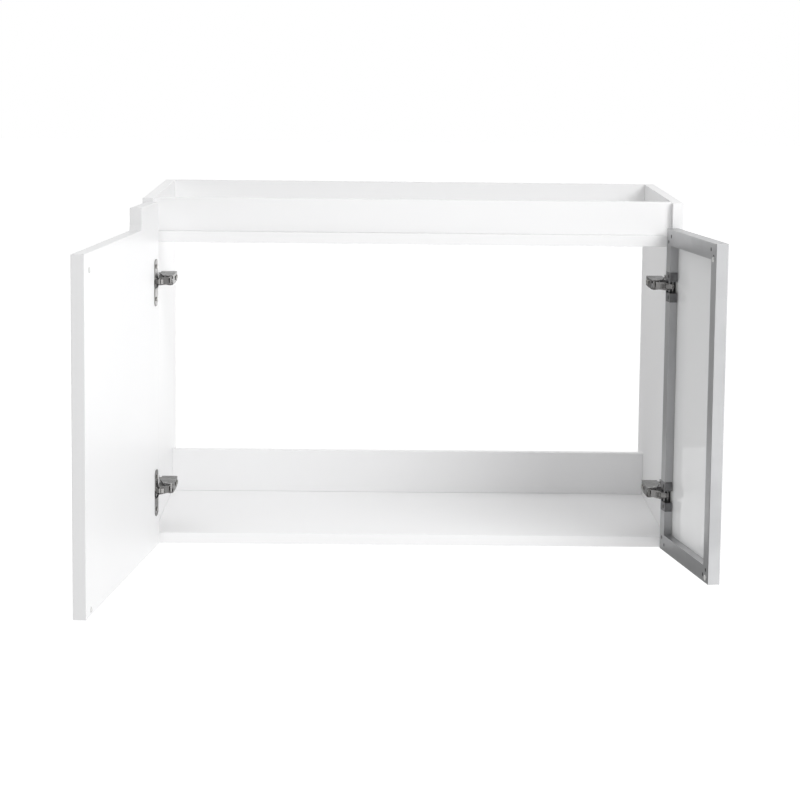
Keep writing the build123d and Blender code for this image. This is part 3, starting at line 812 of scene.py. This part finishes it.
soft_clear = new_finish(
    "soft_clear_plastic",
    clean=(0.72, 0.72, 0.71),
    handled=(0.66, 0.66, 0.65),
    roughness=(0.25, 0.35),
    patch_scale=200.0,
)
for side, width in door_widths.items():
    dome = turned_piece(domed(bumper_dome, bumper_radius, bumper_height))
    spots = [(width - bumper_from_edge[side], 0, level) for level in bumper_levels]
    domes = copies(dome, out_of_door(side, spots))
    fit(domes, f"{side}_bumper_domes", f"{side}_door", "soft_bumper", soft_clear, f"{side}_door_bumpers")

# Floor: a plain white studio floor, well under the hung cabinet. Where it is seen it is lifted
# to white, and the cabinet's shadow stays on it. In reflections it is a glow of its own, dim on the left
# and bright on the right,
# where the lamp stands: a painted reflection of the lamp's side. To the rest of the light it glows
# faintly, as painted fill light from below.
floor_drop = 0.85
floor_size = 60.0
floor_colour = 0.9
floor_lift = 0.45
floor_glow = 0.2
mirrored_floor_left = 0.34
mirrored_floor_right = 2.2
mirrored_floor_span = (-1.0, 3.0)

bpy.ops.object.select_all(action="DESELECT")
bpy.ops.mesh.primitive_plane_add(size=floor_size, location=(0, 0, cad_box[0].z - floor_drop))
floor = bpy.context.object
floor.name = "studio_floor"
floor_paint = bpy.data.materials.new("studio_floor_paint")
floor_paint.use_nodes = True
floor_tree = floor_paint.node_tree
floor_shader = principled(floor_paint)
floor_shader.inputs["Roughness"].default_value = 1.0
floor_shader.inputs["Specular IOR Level"].default_value = 0.0
floor_shader.inputs["Emission Color"].default_value = (1, 1, 1, 1)


def choice(tree, chosen, value, otherwise):
    """One value where a socket is 1, and another where it is 0."""
    mix = tree.nodes.new("ShaderNodeMix")
    tree.links.new(chosen, mix.inputs["Factor"])
    feed(tree, otherwise, mix.inputs["A"])
    feed(tree, value, mix.inputs["B"])
    return mix.outputs["Result"]


def ways_seen(tree):
    """Two sockets: 1 where a ray sees this straight or through glass, and 1 where it is mirrored."""
    rays = tree.nodes.new("ShaderNodeLightPath").outputs
    straight = choice(tree, rays["Is Camera Ray"], 1.0, rays["Is Transmission Ray"])
    return straight, rays["Is Glossy Ray"]


straight, mirrored = ways_seen(floor_tree)
floor_axes = floor_tree.nodes.new("ShaderNodeSeparateXYZ")
floor_tree.links.new(object_point(floor_tree), floor_axes.inputs["Vector"])
# Painted reflection: seen in reflections, the floor glows from dim on the left to bright on the right.
mirrored_floor = smooth_rise(
    floor_tree, floor_axes.outputs["X"], *mirrored_floor_span, mirrored_floor_left, mirrored_floor_right
)
# Painted fill light: to the other rays the floor glows faintly onto the cabinet.
mirrored_glow = choice(floor_tree, mirrored, mirrored_floor, floor_glow)
glow = choice(floor_tree, straight, floor_lift, mirrored_glow)
floor_tree.links.new(glow, floor_shader.inputs["Emission Strength"])
# In reflections the floor keeps no colour of its own, only the painted glow.
shade = choice(floor_tree, mirrored, 0.0, floor_colour)
floor_tree.links.new(shade, floor_shader.inputs["Base Color"])
floor.data.materials.append(floor_paint)

# Studio light: one large soft lamp high on the right in front, a bright ceiling, and walls that
# are dim on the left and brighter on the right. Seen straight, the room is plain white.
# Surfaces mirror it dim in front, and brighter behind, most of all on the left.
lamp_place = Vector((1.5, -2.4, 1.1))
lamp_aim = Vector((0, carcass_front, -0.2))
lamp_size = 1.3
lamp_power = 34.3
wall_left = 0.25
wall_right = 0.46
ceiling = 1.0
mirrored_front = 0.2
mirrored_back_left = 1.3
mirrored_back_right = 1.0

lamp_data = bpy.data.lights.new("soft_lamp", "AREA")
lamp_data.shape = "DISK"
lamp_data.size = lamp_size
lamp_data.energy = lamp_power
lamp = bpy.data.objects.new("soft_lamp", lamp_data)
bpy.context.scene.collection.objects.link(lamp)
lamp.location = lamp_place
lamp.rotation_euler = (lamp_place - lamp_aim).to_track_quat("Z", "Y").to_euler()

room = bpy.data.worlds.new("studio_room")
bpy.context.scene.world = room
room.use_nodes = True
room_tree = room.node_tree
room_light = room_tree.nodes["Background"]
direction = room_tree.nodes.new("ShaderNodeTexCoord").outputs["Generated"]


def towards(aim, start, end, low, high):
    """A value that goes smoothly from low to high as the direction turns towards an aim."""
    nearness = room_tree.nodes.new("ShaderNodeVectorMath")
    nearness.operation = "DOT_PRODUCT"
    nearness.inputs[1].default_value = aim
    room_tree.links.new(direction, nearness.inputs[0])
    return smooth_rise(room_tree, nearness.outputs["Value"], start, end, low, high)


to_right = (1, 0, 0)
to_back = (0, 1, 0)
upwards = (0, 0, 1)
walls = towards(to_right, start=-0.4, end=0.4, low=wall_left, high=wall_right)
lit_room = towards(upwards, start=0.5, end=0.9, low=walls, high=ceiling)
mirrored_back = towards(
    to_right, start=-0.4, end=0.3, low=mirrored_back_left, high=mirrored_back_right
)
mirrored_walls = towards(to_back, start=-0.2, end=0.4, low=mirrored_front, high=mirrored_back)
straight, mirrored = ways_seen(room_tree)
strength = choice(room_tree, straight, 1.0, choice(room_tree, mirrored, mirrored_walls, lit_room))
room_light.inputs["Color"].default_value = (1, 1, 1, 1)
room_tree.links.new(strength, room_light.inputs["Strength"])

# Camera: a little left of the middle and above the cabinet, four and a half metres in front of
# the wall, with a long lens that looks down on it and leans by half a degree.
camera_place = Vector((-0.055025, -4.489107, cad_box[0].z + 0.795738))
camera_down = radians(8.11)
camera_turn = radians(0.542)
camera_lean = radians(0.602)
camera_lens = 123.03

look = Vector(
    (
        sin(camera_turn) * cos(camera_down),
        cos(camera_turn) * cos(camera_down),
        -sin(camera_down),
    )
)
level_right = look.cross(Vector((0, 0, 1))).normalized()
level_up = level_right.cross(look)
camera_right = level_right * cos(camera_lean) + level_up * sin(camera_lean)
camera_up = level_up * cos(camera_lean) - level_right * sin(camera_lean)
camera_data = bpy.data.cameras.new("camera")
camera_data.lens = camera_lens
camera_data.sensor_width = 36.0
camera_data.clip_end = 100.0
camera = bpy.data.objects.new("camera", camera_data)
bpy.context.scene.collection.objects.link(camera)
camera_matrix = Matrix((camera_right, camera_up, -look)).transposed().to_4x4()
camera_matrix.translation = camera_place
camera.matrix_world = camera_matrix
bpy.context.scene.camera = camera
bpy.context.scene.view_settings.view_transform = "Standard"
